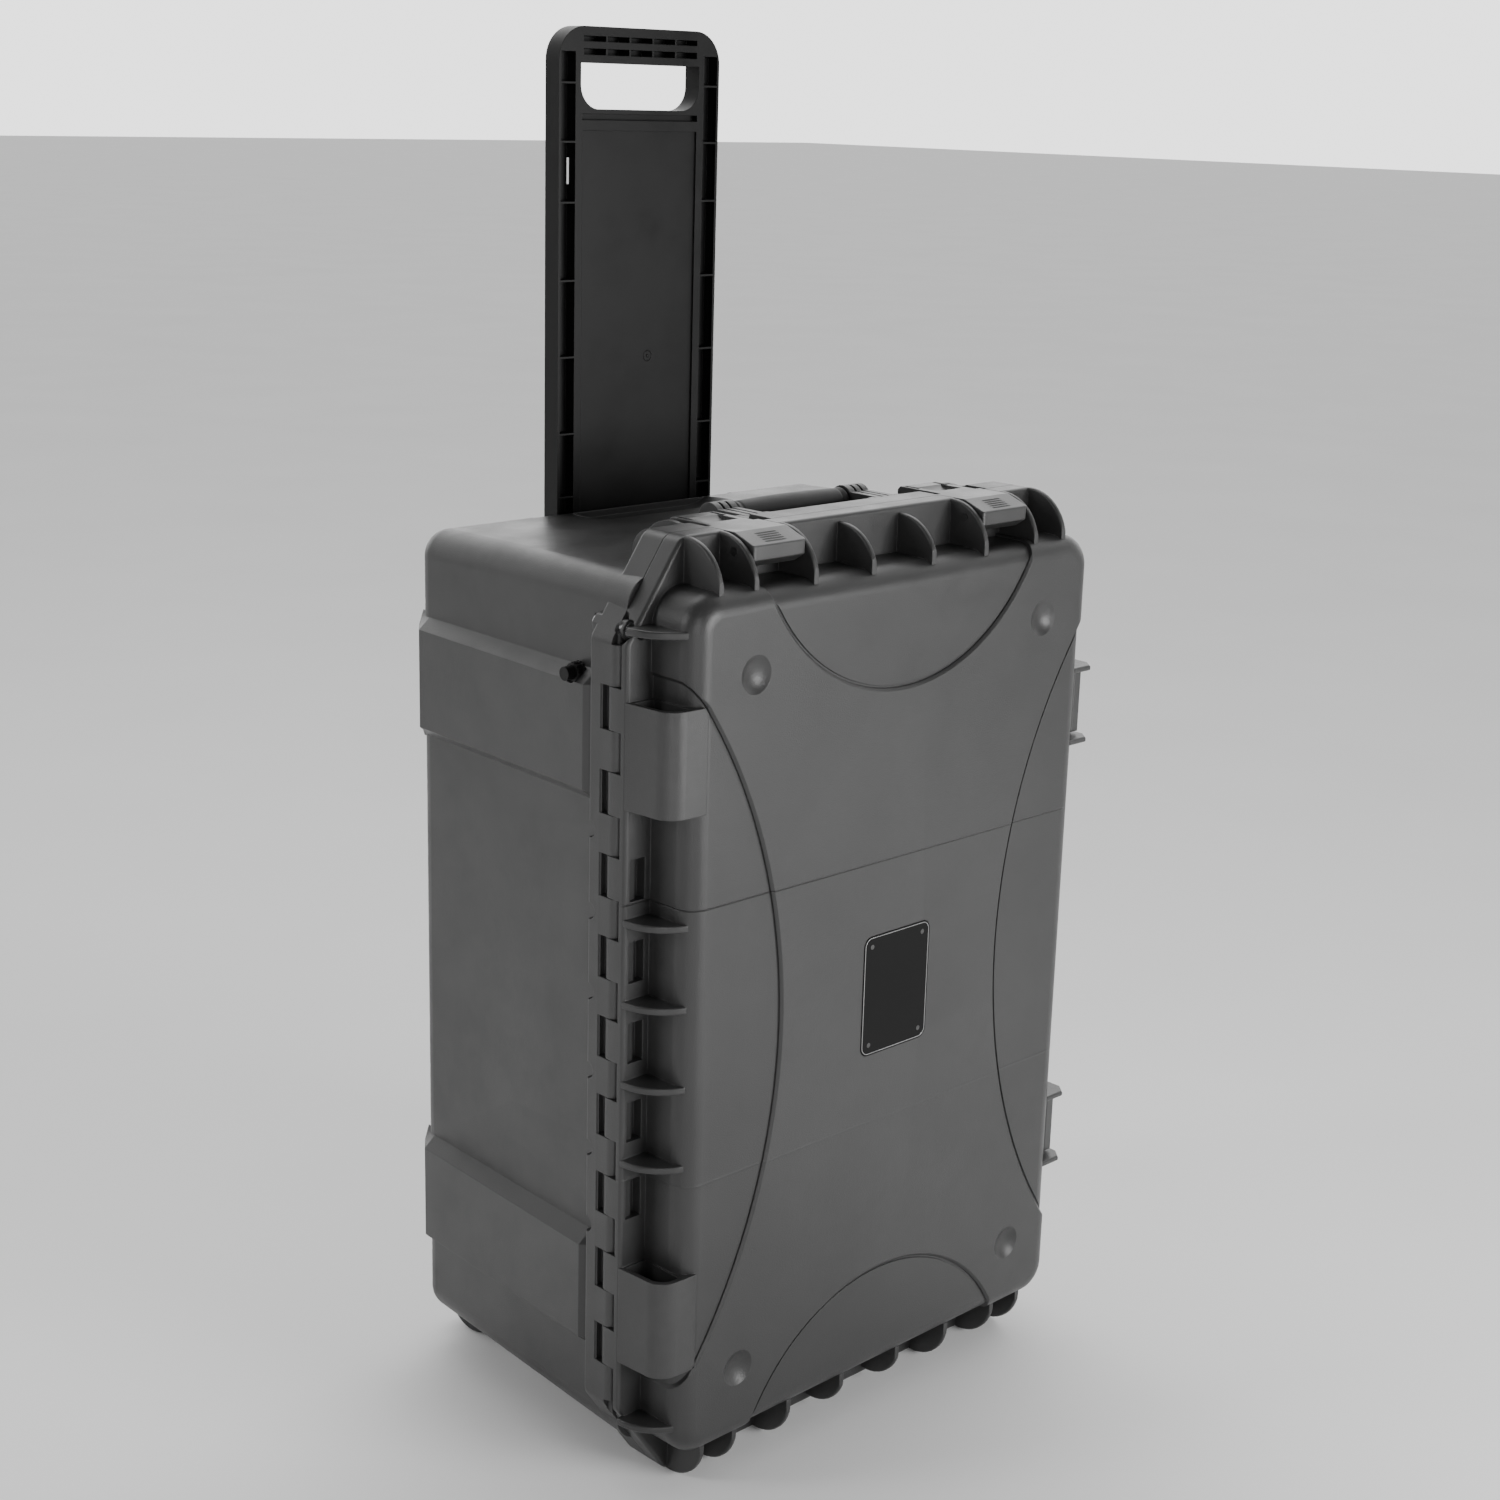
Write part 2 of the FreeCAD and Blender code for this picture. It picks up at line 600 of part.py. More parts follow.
def back_gusset(x, t, depth):
    # Quarter-round gusset from the back of the flange down to the end wall.
    foot = B_H0 - 8
    top = FL_H - 1.0
    a = V(x, Y_BFL + depth, ZC + foot)
    a2 = V(x, Y_BFL + depth, ZC + B_H0)
    b = V(x, Y_BFL + depth * 0.15, ZC + top)
    b2 = V(x, Y_BFL - 1, ZC + top)
    c = V(x, Y_BFL - 1, ZC + foot)
    m = V(x, Y_BFL + depth * 0.77, ZC + B_H0 + 0.72 * (top - B_H0))
    edges = [Part.makeLine(a, a2), Part.Arc(a2, m, b).toShape(), Part.makeLine(b, b2), Part.makeLine(b2, c)]
    edges.append(Part.makeLine(c, a))
    return Part.Face(Part.Wire(edges)).extrude(V(t, 0, 0))


def make_base():
    body = rounded_loft(B_W0, B_H0, B_R + 1, Y_BASE, B_W1, B_H1, B_R, Y_BACK)
    body = fillet_face_edges(body, Y_BACK, BACK_R)
    adds = [octagon(Y_BASE, Y_BFL, Y_BFL)]
    for sx in (-1, 1):
        for sz in (-1, 1):
            adds.append(band(sx, sz))
    # Quarter-round gussets and corner blocks behind the flange on both ends.
    for s in (-1, 1):
        rib = back_gusset(s * GUSSET_X - 1.5, 3.0, GUSSET_DEPTH)
        xs = (GUSSET_X, BLOCK_X) if s > 0 else (-BLOCK_X, -GUSSET_X)
        block = back_gusset(xs[0], xs[1] - xs[0], BLOCK_DEPTH)
        for a in (rib, block):
            adds.append(a)
            adds.append(mirror_z(a))
    # Clevis ears of the top carry handle and of the side carry handle.
    for s in (-1, 1):
        for x in (EAR_IN, EAR_OUT - EAR_T):
            adds.append(top_ear(s * x if s > 0 else -x - EAR_T))
            adds.append(side_ear(ZC + (s * x if s > 0 else -x - EAR_T)))
    # Boss for the padlock hole.
    boss = cyl(LOCK_BOSS, V(LOCK_X, LOCK_Y, ZC + LOCK_Z), V(LOCK_X, Y_BFL + 3, ZC + LOCK_Z))
    adds.append(boss.common(octagon(Y_LFL, Y_BFL + 5, Y_BFL + 5)))
    # Housings of the wheel wells and brackets for the axles.
    for s in (-1, 1):
        a = s * (WH_X0 - WELL_GAP - WALL)
        b = s * (WH_X0 - WELL_GAP)
        adds.append(cyl(BRACKET_R, V(a, WH_Y, WH_Z), V(b, WH_Y, WH_Z)))
        arm = box(min(a, b), max(a, b), WH_Y - BRACKET_R, WH_Y + 9.8, WH_Z, WH_Z + 30)
        adds.append(arm)
    body = join(body, adds)

    # Inside: one cavity, then the bay housing and the wheel housings put back.
    inside = rounded_loft(B_W0 - MOUTH, B_H0 - MOUTH, B_R - 4, Y_BASE - 1,
                          B_W1 - WALL, B_H1 - WALL, B_R - 5, Y_BACK - WALL)
    keeps = [box(-BAY_W - WALL, BAY_W + WALL, BAY_Y - WALL, Y_BACK, BAY_Z0 - WALL, ZC + B_H0)]
    keeps.append(box(-BAY_W - WALL, BAY_W + WALL, HUMP_Y, Y_BACK, ZC + B_H1 - WALL - HUMP_DROP, ZC + B_H0))
    for s in (-1, 1):
        x0 = s * (WH_X0 - WELL_GAP - WALL)
        x1 = s * (WH_X1 + WELL_GAP + WALL)
        keeps.append(cyl(WELL_R + WALL, V(x0, WH_Y, WH_Z), V(x1, WH_Y, WH_Z)))
    inside = inside.cut(keeps)

    cuts = [inside]
    cuts.append(box(-BAY_W, BAY_W, BAY_Y, Y_BACK + 10, BAY_Z0, ZC + B_H0 + 5))
    for s in (-1, 1):
        x0 = s * (WH_X0 - WELL_GAP)
        x1 = s * (WH_X1 + WELL_GAP)
        cuts.append(cyl(WELL_R, V(x0, WH_Y, WH_Z), V(x1, WH_Y, WH_Z)))
        # Hole for the axle, closed at the inner end.
        cuts.append(cyl(AXLE_R, V(s * (WH_X0 - AXLE_BLIND), WH_Y, WH_Z), V(s * WH_X1, WH_Y, WH_Z)))
    # Dished finger recess in front of the pull handle.
    dish_z = ZC + B_H1 + DISH_R - DISH_DEPTH
    dish = cyl(DISH_R, V(DISH_X0, DISH_Y, dish_z), V(DISH_X1, DISH_Y, dish_z))
    ends = [Part.makeSphere(DISH_R, V(x, DISH_Y, dish_z)) for x in (DISH_X0, DISH_X1)]
    reach = box(DISH_X0 - DISH_R, DISH_X1 + DISH_R, 70, BAY_Y - 1.2, 0, 2 * ZC + 100)
    cuts.append(dish.fuse(ends).common(reach))
    cuts = cuts + latch_notches(Y_BASE - 1, Y_BFL + 1, True)
    # Pins of the carry handles, the padlock hole and the valve seat.
    for s in (-1, 1):
        a = s * (EAR_IN - 0.5)
        b = s * (EAR_OUT + 0.4)
        cuts.append(cyl(CARRY_PIN_R, V(a, CARRY_PIN_Y, CARRY_TOP_Z), V(b, CARRY_PIN_Y, CARRY_TOP_Z)))
        c = V(CARRY_SIDE_X, CARRY_PIN_Y, ZC + a)
        d = V(CARRY_SIDE_X, CARRY_PIN_Y, ZC + b)
        cuts.append(cyl(CARRY_PIN_R, c, d))
    cuts.append(cyl(LOCK_R + LOCK_BUSH, V(LOCK_X, Y_LFL, ZC + LOCK_Z), V(LOCK_X, Y_BFL + 10, ZC + LOCK_Z)))
    valve_out = V(VALVE_WALL_X - 20, VALVE_Y, ZC + VALVE_Z)
    cuts.append(cyl(VALVE_STEM_R, V(VALVE_WALL_X + 20, VALVE_Y, ZC + VALVE_Z), valve_out))
    cuts.append(cyl(VALVE_SEAT_R, V(VALVE_WALL_X - 0.5, VALVE_Y, ZC + VALVE_Z), valve_out))
    # Small scoops in the wall behind the base's knuckles.
    for z0, z1 in base_finger_spans():
        mid = (z0 + z1) / 2
        if abs(mid - ZC) > BAND_Z0 - BAND_SLOPE - SCOOP_R:
            continue
        cuts.append(cyl(SCOOP_R, V(-B_W0 + SCOOP_DEPTH, Y_BFL - 1, mid), V(-B_W0 - 14, Y_BFL - 1, mid)))
    # Screw holes of the rails.
    for s in (-1, 1):
        for z in RAIL_SCREWS:
            x = s * RAIL_SCREW_X
            cuts.append(cyl(SCREW_R, V(x, BAY_Y - 3, z), V(x, BAY_Y + 1, z)))
    body = body.cut(cuts)
    body = add_fingers(body, base_finger_spans(), lid_finger_spans(), 1, PIN_R)
    return body.removeSplitter()


def top_ear(x):
    # Ear for the top carry handle, from the base flange backwards.
    h0 = ZC + B_H0 - 8
    block = box(x, x + EAR_T, Y_BFL - 1, CARRY_PIN_Y, h0, CARRY_TOP_Z + TOP_EAR_R)
    lower = box(x, x + EAR_T, CARRY_PIN_Y, CARRY_PIN_Y + TOP_EAR_R, h0, CARRY_TOP_Z)
    nose = cyl(TOP_EAR_R, V(x, CARRY_PIN_Y, CARRY_TOP_Z), V(x + EAR_T, CARRY_PIN_Y, CARRY_TOP_Z))
    return block.fuse([lower, nose])


def side_ear(z):
    # Ear for the side carry handle.
    w0 = B_W0 - 8
    r = SIDE_EAR_R
    block = box(w0, CARRY_SIDE_X + r, Y_BFL - 1, CARRY_PIN_Y, z, z + EAR_T)
    lower = box(w0, CARRY_SIDE_X, CARRY_PIN_Y, CARRY_PIN_Y + r, z, z + EAR_T)
    nose = cyl(r, V(CARRY_SIDE_X, CARRY_PIN_Y, z), V(CARRY_SIDE_X, CARRY_PIN_Y, z + EAR_T))
    return block.fuse([lower, nose])


def latch_profile(pin_h, pad_r, top_h, x0, half, rear_half):
    # Side outline in the Y-Z plane (height up), swept across the latch width.
    plate_low = top_h - PLATE_T
    y1 = LATCH_REAR_Y
    pts = [(PIN_Y, plate_low), (y1 - 1.5, plate_low), (y1, plate_low + 1.5),
           (y1, top_h - 2.0), (y1 - 2.0, top_h), (PIN_Y, top_h)]
    body = prism([V(x0 - half, y, z) for y, z in pts], V(2 * half, 0, 0))
    # The rear is narrower than the pad.
    taper_y = Y_BASE + 3
    for s in (-1, 1):
        a = x0 + s * rear_half
        b = x0 + s * (half + 1)
        body = body.cut(box(min(a, b), max(a, b), taper_y, y1 + 1, plate_low - 5, top_h + 5))
    pad = cyl(pad_r, V(x0 - half + NOSE_SOFT, PIN_Y, pin_h), V(x0 + half - NOSE_SOFT, PIN_Y, pin_h))
    # The nose slopes down to a rounded front.
    front_y = PIN_Y - pad_r - NOSE
    drop = NOSE_DROP * pad_r
    slope_y = PIN_Y + SLOPE_BACK
    back_y = slope_y + 2
    pts = [(back_y, top_h), (slope_y, top_h), (front_y, top_h - drop), (front_y, pin_h - 0.45 * pad_r),
           (PIN_Y - 0.6 * pad_r, pin_h - 0.8 * pad_r), (PIN_Y, pin_h - 0.8 * pad_r), (back_y, pin_h)]
    nose = prism([V(x0 - half, y, z) for y, z in pts], V(2 * half, 0, 0))
    soft = [e for e in nose.Edges if e.BoundBox.YMax < PIN_Y - 0.5]
    nose = nose.makeFillet(NOSE_SOFT, soft)
    above = [(slope_y, top_h), (front_y, top_h - drop), (front_y, top_h + 1), (slope_y, top_h + 1)]
    wedge = prism([V(x0 - half - 1, y, z) for y, z in above], V(2 * half + 2, 0, 0))
    body = body.fuse([pad]).cut([wedge]).fuse([nose]).removeSplitter()
    # Narrow slots through the top skin of the plate.
    slots = []
    for s in (-1, 1):
        x = x0 + s * PLATE_SLOT_X
        slots.append(box(x - 1.4, x + 1.4, PLATE_SLOT_Y0, PLATE_SLOT_Y1, top_h - 3.0, top_h + 1))
    body = body.cut(slots)
    # Shallow finger recess across the plate and a bore for the pin.
    recess = cyl(16.0, V(x0 - 11, y1 - 19, top_h + 13.6), V(x0 + 11, y1 - 19, top_h + 13.6))
    hole = cyl(LATCH_PIN_R + LATCH_RUN, V(x0 - half - 1, PIN_Y, pin_h), V(x0 + half + 1, PIN_Y, pin_h))
    # Keep the round part of the pad clear of the rim.
    y_clear = PIN_Y + pad_r - 1.4
    slit = box(x0 - half - 1, x0 + half + 1, y_clear, y_clear + 2, plate_low - 20, plate_low)
    return body.cut([recess, hole, slit]).removeSplitter()


def top_latch(x0):
    top = ZC + FL_H
    return latch_profile(top - TOP_PAD_R, TOP_PAD_R, top, x0, LATCH_HALF, LATCH_REAR_HALF)


def side_latch(z0):
    # Same latch turned so that its height points along +X.
    s = latch_profile(FL_W - SIDE_PAD_R, SIDE_PAD_R, FL_W, 0, LATCH_HALF, LATCH_REAR_HALF)
    s.rotate(V(0, 0, 0), V(0, 1, 0), 90)
    s.translate(V(0, 0, z0))
    return s


def carry_frame(pin_h, r, grip_h, grip_r, top_h):
    # Carry handle in local axes: X along the grip, Y back, Z away from the case.
    arms = []
    a0 = EAR_IN + EAR_T + ARM_GAP
    a1 = EAR_OUT - EAR_T - ARM_GAP
    for s in (-1, 1):
        x0 = s * a0 if s > 0 else -a1
        x1 = s * a1 if s > 0 else -a0
        low = pin_h - r + 0.2
        arm = box(x0, x1, CARRY_PIN_Y, GRIP_Y, low, top_h)
        eye = cyl(top_h - pin_h, V(x0, CARRY_PIN_Y, pin_h), V(x1, CARRY_PIN_Y, pin_h))
        arms.append(arm)
        arms.append(eye)
    # The bar carries the sleeve between the arms.
    bar = cyl(grip_r - GRIP_CORE, V(-a0 - 1, GRIP_Y, grip_h), V(a0 + 1, GRIP_Y, grip_h))
    ends = [cyl(grip_r, V(-a1, GRIP_Y, grip_h), V(-a0, GRIP_Y, grip_h)),
            cyl(grip_r, V(a0, GRIP_Y, grip_h), V(a1, GRIP_Y, grip_h))]
    hole = cyl(CARRY_PIN_R + CARRY_RUN, V(-80, CARRY_PIN_Y, pin_h), V(80, CARRY_PIN_Y, pin_h))
    frame = fuse(arms + [bar] + ends)
    grooves = []
    step = (a1 - a0) / 3.0
    for s in (-1, 1):
        for i in (1, 2):
            x = s * (a0 + i * step)
            grooves.append(box(x - ARM_GROOVE, x + ARM_GROOVE, CARRY_PIN_Y - 20, GRIP_Y - 1.5,
                               top_h - ARM_GROOVE_DEPTH, top_h + 5))
    return frame.cut([hole] + grooves)


def carry_sleeve(grip_h, grip_r):
    half = EAR_IN + EAR_T + ARM_GAP - SLEEVE_GAP
    sleeve = cyl(grip_r - SLEEVE_INSET, V(-half, GRIP_Y, grip_h), V(half, GRIP_Y, grip_h))
    return sleeve.cut([cyl(grip_r - GRIP_CORE, V(-80, GRIP_Y, grip_h), V(80, GRIP_Y, grip_h))])


def place_side(s):
    # Local X becomes height, local Z becomes +X.
    s.rotate(V(0, 0, 0), V(0, 1, 0), 90)
    s.translate(V(0, 0, ZC))
    return s


def make_pull():
    w = PH_W
    r = PH_R
    edges = []
    k = r * (1 - math.sqrt(0.5))
    p = [V(-w, PH_Y0, PH_BOTTOM), V(w, PH_Y0, PH_BOTTOM), V(w, PH_Y0, PH_TOP - r)]
    q = [V(w - r, PH_Y0, PH_TOP), V(-w + r, PH_Y0, PH_TOP), V(-w, PH_Y0, PH_TOP - r)]
    edges.append(Part.makeLine(p[0], p[1]))
    edges.append(Part.makeLine(p[1], p[2]))
    edges.append(Part.Arc(p[2], V(w - k, PH_Y0, PH_TOP - k), q[0]).toShape())
    edges.append(Part.makeLine(q[0], q[1]))
    edges.append(Part.Arc(q[1], V(-w + k, PH_Y0, PH_TOP - k), q[2]).toShape())
    edges.append(Part.makeLine(q[2], p[0]))
    body = Part.Face(Part.Wire(edges)).extrude(V(0, PH_Y1 - PH_Y0, 0))
    cuts = []
    hole = box(-HOLE_W, HOLE_W, PH_Y0 - 1, PH_Y1 + 1, HOLE_Z0, HOLE_Z1)
    picked = []
    for e in hole.Edges:
        bb = e.BoundBox
        if bb.YLength > 5 and bb.ZMax < HOLE_Z0 + 1:
            picked.append(e)
    cuts.append(hole.makeFillet(HOLE_R, picked))
    # Slots between the fins of the grip, split by cross ribs.
    for z0, z1 in GRIP_SLOT_Z:
        for i in range(GRIP_CELLS):
            x = (i - (GRIP_CELLS - 1) / 2) * GRIP_SLOT_PITCH
            cuts.append(box(x - GRIP_SLOT_W / 2, x + GRIP_SLOT_W / 2, PH_Y0 - 1, PH_Y1 - GRIP_SKIN, z0, z1))
    cuts.append(box(-HOLE_W + 1, HOLE_W - 1, PH_Y0 - 1, PH_Y0 + GROOVE_IN, GROOVE_Z0, GROOVE_Z1))
    # Recessed middle panel and the two side channels.
    cuts.append(box(-PANEL_W, PANEL_W, PH_Y0 - 1, PH_Y0 + PANEL_DEPTH, PH_BOTTOM + 14, GROOVE_Z0 - 6))
    levels = [PH_TOP - 14] + CROSS_RIBS + [PH_BOTTOM + 10]
    for i in range(len(levels) - 1):
        z1 = levels[i] - CELL_RIB
        z0 = levels[i + 1] + CELL_RIB
        for s in (-1, 1):
            a = s * CH_IN
            b = s * CH_OUT
            cuts.append(box(min(a, b), max(a, b), PH_Y0 - 1, PH_Y0 + CH_DEPTH, z0, z1))
    cuts.append(box(SLOT_X0, SLOT_X1, SLOT_Y0, PH_Y1 + 1, SLOT_Z0, SLOT_Z1))
    return body.cut(cuts).removeSplitter()


def make_rail(s):
    a = s * RAIL_IN
    b = s * (BAY_W - 0.2)
    x0 = min(a, b)
    x1 = max(a, b)
    rail = box(x0, x1, BAY_Y, RAIL_LIP_Y + RAIL_T, BAY_Z0 + 1, ZC + B_H1 - 8)
    c = s * (RAIL_IN - 7)
    lip = box(min(c, b), max(c, b), RAIL_LIP_Y, RAIL_LIP_Y + RAIL_T, BAY_Z0 + 1, ZC + B_H1 - 8)
    rail = rail.fuse([lip])
    holes = []
    x = s * RAIL_SCREW_X
    seat_y = RAIL_LIP_Y + RAIL_T - SCREW_SINK
    for z in RAIL_SCREWS:
        holes.append(cyl(SCREW_R, V(x, BAY_Y - 1, z), V(x, RAIL_LIP_Y + 5, z)))
        holes.append(cyl(SCREW_SEAT_R, V(x, seat_y, z), V(x, RAIL_LIP_Y + 5, z)))
    return rail.cut(holes).removeSplitter()


def make_rail_screws(s):
    parts = []
    x = s * RAIL_SCREW_X
    top = RAIL_LIP_Y + RAIL_T - SCREW_SINK
    for z in RAIL_SCREWS:
        shank = cyl(SCREW_R, V(x, BAY_Y - 3, z), V(x, top, z))
        head = cyl(SCREW_HEAD_R, V(x, top, z), V(x, top + SCREW_HEAD_T, z))
        cross = []
        for w, h in ((CROSS_HALF, CROSS_REACH), (CROSS_REACH, CROSS_HALF)):
            cross.append(box(x - w, x + w, top + 1.0, top + 3, z - h, z + h))
        parts.append(shank.fuse([head]).cut(cross).removeSplitter())
    return parts


def make_hub(s):
    x0 = s * (WH_X0 + HUB_INSET)
    x1 = s * (WH_X1 - HUB_INSET)
    hub = cyl(HUB_R, V(x0, WH_Y, WH_Z), V(x1, WH_Y, WH_Z))
    rim = cyl(HUB_RIM_R, V(s * (WH_X1 - 4), WH_Y, WH_Z), V(s * (WH_X1 + 1), WH_Y, WH_Z))
    centre = cyl(HUB_CENTRE_R, V(s * (WH_X1 - 5), WH_Y, WH_Z), V(s * (WH_X1 + 1), WH_Y, WH_Z))
    bore = cyl(AXLE_R + AXLE_RUN, V(s * (WH_X0 - 10), WH_Y, WH_Z), V(s * (WH_X1 + 10), WH_Y, WH_Z))
    hub = hub.cut([rim.cut([centre]), bore])
    return hub.removeSplitter()


def make_tyre(s):
    x0 = s * WH_X0
    x1 = s * WH_X1
    tyre = cyl(WH_R, V(x0, WH_Y, WH_Z), V(x1, WH_Y, WH_Z))
    rims = []
    for e in tyre.Edges:
        if e.BoundBox.XLength < 0.01:
            rims.append(e)
    tyre = tyre.makeFillet(TYRE_SOFT, rims)
    return tyre.cut([cyl(HUB_R, V(s * (WH_X0 - 10), WH_Y, WH_Z), V(s * (WH_X1 + 10), WH_Y, WH_Z))])


def make_axle(s):
    a = V(s * (WH_X0 - AXLE_BLIND), WH_Y, WH_Z)
    b = V(s * (WH_X1 + 0.4), WH_Y, WH_Z)
    shaft = cyl(AXLE_R, a, b)
    head = cyl(AXLE_HEAD_R, b, b.add(V(s * AXLE_HEAD_T, 0, 0)))
    return shaft.fuse([head]).removeSplitter()


def export(name, shape):
    if isinstance(shape, list):
        shape = Part.makeCompound(shape)
    shape.exportStep("parts/" + name + ".step")


export("lid_shell", make_lid())
export("base_shell", make_base())
ends_z = [base_finger_spans()[-2][0], base_finger_spans()[-1][1]]
export("hinge_pin", cyl(PIN_R, V(HX, HY, ends_z[0] + 1), V(HX, HY, ends_z[1] - 1)))
export("lid_seal", seal_ring(0.0, Y_LID - SEAL_DEPTH + 0.1, Y_LID - 0.1))

label = label_block(Y_FACE - 0.2, Y_FACE + LABEL_SINK, 0.0)
rivets = []
rivet_holes = []
for rx in (LABEL_X0 + RIVET_INSET, LABEL_X1 - RIVET_INSET):
    for rz in (ZC + LABEL_Z0 + RIVET_INSET, ZC + LABEL_Z1 - RIVET_INSET):
        rivet_holes.append(cyl(RIVET_R, V(rx, Y_FACE - 2, rz), V(rx, Y_FACE + 2, rz)))
        rivets.append(cyl(RIVET_R, V(rx, Y_FACE - 0.3, rz), V(rx, Y_FACE + LABEL_SINK, rz)))
export("label_plate", label.cut(rivet_holes))
export("label_rivets", rivets)

export("latch_top_left", top_latch(-TOP_LATCH_X))
export("latch_top_right", top_latch(TOP_LATCH_X))
export("latch_side_upper", side_latch(ZC + SIDE_LATCH_Z))
export("latch_side_lower", side_latch(ZC - SIDE_LATCH_Z))

pin_z = ZC + FL_H - TOP_PAD_R
for name, x in (("latch_pin_top_left", -TOP_LATCH_X), ("latch_pin_top_right", TOP_LATCH_X)):
    export(name, cyl(LATCH_PIN_R, V(x - LATCH_PIN_REACH, PIN_Y, pin_z), V(x + LATCH_PIN_REACH, PIN_Y, pin_z)))
pin_x = FL_W - SIDE_PAD_R
for name, z in (("latch_pin_side_upper", ZC + SIDE_LATCH_Z), ("latch_pin_side_lower", ZC - SIDE_LATCH_Z)):
    export(name, cyl(LATCH_PIN_R, V(pin_x, PIN_Y, z - LATCH_PIN_REACH), V(pin_x, PIN_Y, z + LATCH_PIN_REACH)))

export("top_handle", carry_frame(CARRY_TOP_Z, TOP_ARM_R, TOP_GRIP_H, TOP_GRIP_R, TOP_ARM_H))
export("top_handle_sleeve", carry_sleeve(TOP_GRIP_H, TOP_GRIP_R))
side_frame = carry_frame(CARRY_SIDE_X, SIDE_ARM_R, SIDE_GRIP_H, SIDE_GRIP_R, SIDE_ARM_H)
export("side_handle", place_side(side_frame))
export("side_handle_sleeve", place_side(carry_sleeve(SIDE_GRIP_H, SIDE_GRIP_R)))
for name, s in (("left", -1), ("right", 1)):
    export("top_handle_pin_" + name, cyl(CARRY_PIN_R, V(s * CARRY_PIN_IN, CARRY_PIN_Y, CARRY_TOP_Z),
                                         V(s * CARRY_PIN_OUT, CARRY_PIN_Y, CARRY_TOP_Z)))
for name, s in (("lower", -1), ("upper", 1)):
    export("side_handle_pin_" + name, cyl(CARRY_PIN_R, V(CARRY_SIDE_X, CARRY_PIN_Y, ZC + s * CARRY_PIN_IN),
                                          V(CARRY_SIDE_X, CARRY_PIN_Y, ZC + s * CARRY_PIN_OUT)))

export("pull_handle", make_pull())
for name, s in (("left", -1), ("right", 1)):
    export("pull_rail_" + name, make_rail(s))
    export("rail_screws_" + name, make_rail_screws(s))
    export("wheel_hub_" + name, make_hub(s))
    export("wheel_tyre_" + name, make_tyre(s))
    export("wheel_axle_" + name, make_axle(s))

bush = cyl(LOCK_R + LOCK_BUSH, V(LOCK_X, LOCK_Y, ZC + LOCK_Z), V(LOCK_X, Y_BFL + 5, ZC + LOCK_Z))
lock_bore = cyl(LOCK_R, V(LOCK_X, Y_LFL, ZC + LOCK_Z), V(LOCK_X, Y_BFL + 9, ZC + LOCK_Z))
export("padlock_bush", bush.cut([lock_bore]))

vz = ZC + VALVE_Z
seat_x = VALVE_WALL_X - 0.5
stem = cyl(VALVE_STEM_R, V(VALVE_WALL_X + 3.0, VALVE_Y, vz), V(seat_x, VALVE_Y, vz))
knob = cyl(VALVE_BODY_R, V(seat_x, VALVE_Y, vz), V(seat_x - VALVE_BODY_L, VALVE_Y, vz))
export("valve_body", stem.fuse([knob]).removeSplitter())
export("valve_cap", cyl(VALVE_CAP_R, V(seat_x - VALVE_BODY_L, VALVE_Y, vz), V(-FL_W, VALVE_Y, vz)))
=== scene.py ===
import math

import bmesh
import bpy
from mathutils import Matrix, Vector


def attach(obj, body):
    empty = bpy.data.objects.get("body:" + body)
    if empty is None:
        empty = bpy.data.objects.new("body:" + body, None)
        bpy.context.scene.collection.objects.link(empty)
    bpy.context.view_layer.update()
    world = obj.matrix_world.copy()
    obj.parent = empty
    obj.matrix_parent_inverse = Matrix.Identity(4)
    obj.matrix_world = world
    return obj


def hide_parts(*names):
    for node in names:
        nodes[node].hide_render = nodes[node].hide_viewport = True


# Hard equipment case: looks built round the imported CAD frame.  Metres.
# X: hinge side to latch side.  Y: lid face to back.  Z: up, the floor is z = 0.

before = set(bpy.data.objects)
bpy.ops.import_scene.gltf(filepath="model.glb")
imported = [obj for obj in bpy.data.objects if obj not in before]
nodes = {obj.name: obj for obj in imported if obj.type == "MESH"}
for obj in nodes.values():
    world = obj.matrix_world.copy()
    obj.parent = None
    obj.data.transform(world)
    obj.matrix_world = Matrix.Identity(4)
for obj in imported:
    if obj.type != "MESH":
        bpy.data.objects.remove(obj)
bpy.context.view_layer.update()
MM = 0.001
SEAM_Z = 0.359          # witness line across the lid
SEAM_HALF = 0.0006
FAINT_Z = 0.1967        # a second, very faint line
FAINT_HALF = 0.0012
SEAM_DEPTH = 0.0010


# ---------------------------------------------------------------- materials

def new_material(name):
    mat = bpy.data.materials.new(name)
    mat.use_nodes = True
    tree = mat.node_tree
    return mat, tree, tree.nodes["Principled BSDF"]


def link(tree, a, out, b, into):
    tree.links.new(a.outputs[out], b.inputs[into])


def noise(tree, scale, detail, rough, stretch=None):
    tex = tree.nodes.new("ShaderNodeTexCoord")
    node = tree.nodes.new("ShaderNodeTexNoise")
    node.inputs["Scale"].default_value = scale
    node.inputs["Detail"].default_value = detail
    node.inputs["Roughness"].default_value = rough
    if stretch:
        mapping = tree.nodes.new("ShaderNodeMapping")
        mapping.inputs["Scale"].default_value = stretch
        link(tree, tex, "Object", mapping, "Vector")
        link(tree, mapping, "Vector", node, "Vector")
    else:
        link(tree, tex, "Object", node, "Vector")
    return node


def ramp(tree, source, out, lo, hi, a, b):
    # Maps a noise value between lo and hi to colours a and b.
    node = tree.nodes.new("ShaderNodeValToRGB")
    node.color_ramp.elements[0].position = lo
    node.color_ramp.elements[1].position = hi
    node.color_ramp.elements[0].color = a
    node.color_ramp.elements[1].color = b
    link(tree, source, out, node, "Fac")
    return node


